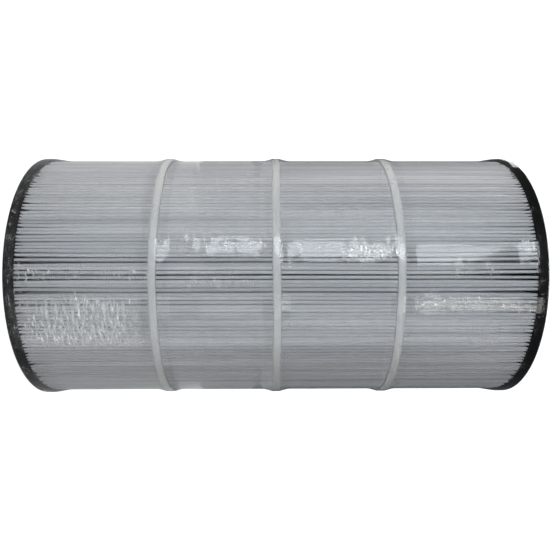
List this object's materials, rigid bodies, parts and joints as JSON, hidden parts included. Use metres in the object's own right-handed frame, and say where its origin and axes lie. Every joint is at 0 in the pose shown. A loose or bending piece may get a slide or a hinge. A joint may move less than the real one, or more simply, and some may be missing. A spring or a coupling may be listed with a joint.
{
  "type": "pleated filter cartridge",
  "caption": "Cylindrical pleated filter cartridge for a pool or spa tank, with a perforated core, open-bore end caps and outer bands.",
  "frame": {"origin": "centre of the bore on the lower sealing lip, which the cartridge stands on", "axes": "+Z along the cartridge's axis, from the lower end cap to the upper; the part is the same all round, so +X and +Y are free"},
  "size_m": [0.2276, 0.2276, 0.4413],
  "materials": {
    "media": "spunbond polyester, pale blue-grey",
    "seam": "cured hot-melt, translucent white",
    "end_cap": "cast black urethane, satin",
    "core": "moulded white plastic",
    "band": "milky, translucent",
    "film": "clear shrink film, crinkled"
  },
  "bodies": {
    "root": {"pleated_media": "media", "side_seam": "seam", "bottom_end_cap": "end_cap", "top_end_cap": "end_cap", "core_section_1": "core", "core_section_2": "core", "core_section_3": "core", "core_section_4": "core", "band_lower": "band", "band_middle": "band", "band_upper": "band", "shrink_film": "film"}
  },
  "joints": []
}
